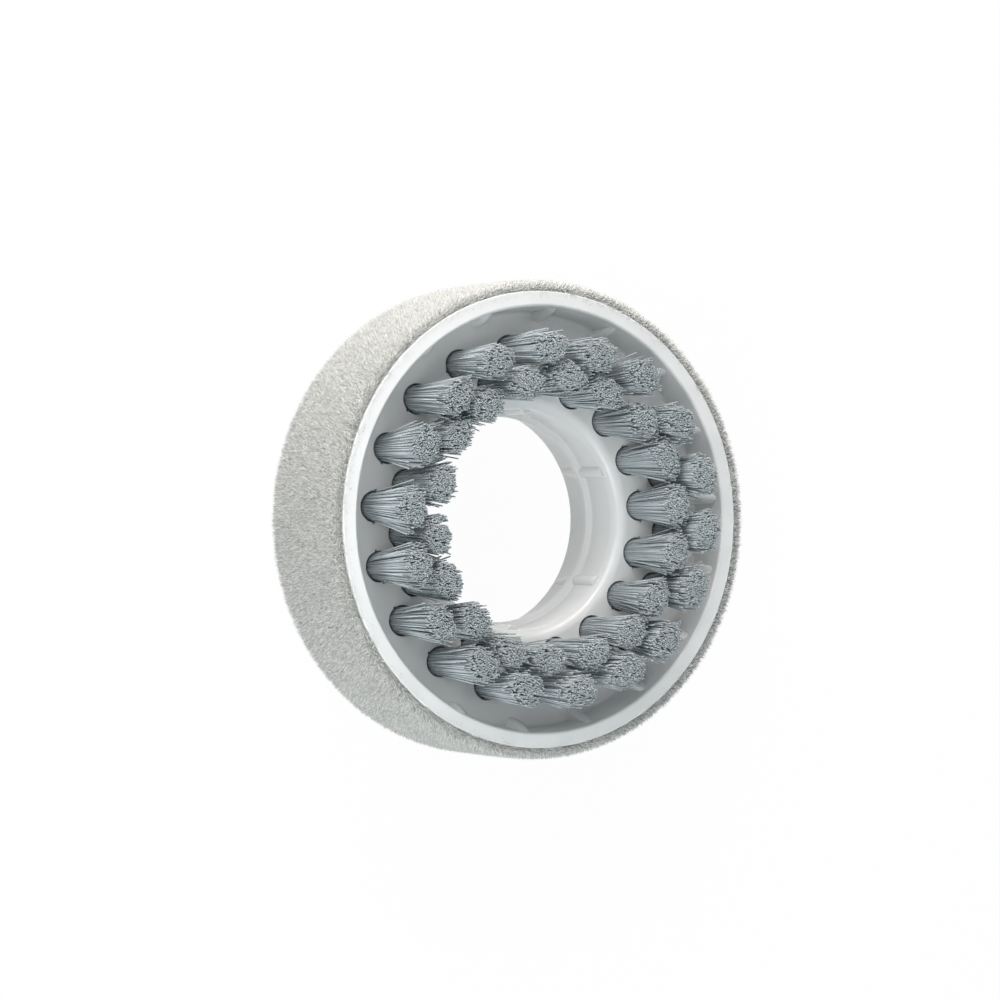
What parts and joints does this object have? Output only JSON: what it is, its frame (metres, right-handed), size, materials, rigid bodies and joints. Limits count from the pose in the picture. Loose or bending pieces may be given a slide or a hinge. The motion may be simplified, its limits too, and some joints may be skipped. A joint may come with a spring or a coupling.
{
  "type": "robot vacuum side brush",
  "caption": "Ring-shaped side brush: moulded dish with a through bore, two staggered rings of bristle tufts in its face and a short pile sleeve round the outside.",
  "frame": {"origin": "centre of the bore in the plane of the back face, on which the brush lies", "axes": "+Z along the bore axis, out of the dish and towards the bristle tips; +X through the first inner tuft and a bore lug"},
  "size_m": [0.085, 0.085, 0.0318],
  "materials": {
    "housing_plastic": "off-white moulded plastic, satin",
    "pile_fabric": "short dense light grey pile",
    "bristle_nylon": "grey nylon filament, slightly glossy along its length",
    "anchor_wire": "bright flat wire"
  },
  "bodies": {
    "root": {"ring_housing": "housing_plastic", "pile_sleeve": "pile_fabric", "anchor_staples": "anchor_wire", "tuft_inner_01": "bristle_nylon", "tuft_inner_02": "bristle_nylon", "tuft_inner_03": "bristle_nylon", "tuft_inner_04": "bristle_nylon", "tuft_inner_05": "bristle_nylon", "tuft_inner_06": "bristle_nylon", "tuft_inner_07": "bristle_nylon", "tuft_inner_08": "bristle_nylon", "tuft_inner_09": "bristle_nylon", "tuft_inner_10": "bristle_nylon", "tuft_inner_11": "bristle_nylon", "tuft_inner_12": "bristle_nylon", "tuft_inner_13": "bristle_nylon", "tuft_inner_14": "bristle_nylon", "tuft_inner_15": "bristle_nylon", "tuft_inner_16": "bristle_nylon", "tuft_inner_17": "bristle_nylon", "tuft_inner_18": "bristle_nylon", "tuft_outer_01": "bristle_nylon", "tuft_outer_02": "bristle_nylon", "tuft_outer_03": "bristle_nylon", "tuft_outer_04": "bristle_nylon", "tuft_outer_05": "bristle_nylon", "tuft_outer_06": "bristle_nylon", "tuft_outer_07": "bristle_nylon", "tuft_outer_08": "bristle_nylon", "tuft_outer_09": "bristle_nylon", "tuft_outer_10": "bristle_nylon", "tuft_outer_11": "bristle_nylon", "tuft_outer_12": "bristle_nylon", "tuft_outer_13": "bristle_nylon", "tuft_outer_14": "bristle_nylon", "tuft_outer_15": "bristle_nylon", "tuft_outer_16": "bristle_nylon", "tuft_outer_17": "bristle_nylon", "tuft_outer_18": "bristle_nylon"}
  },
  "joints": []
}
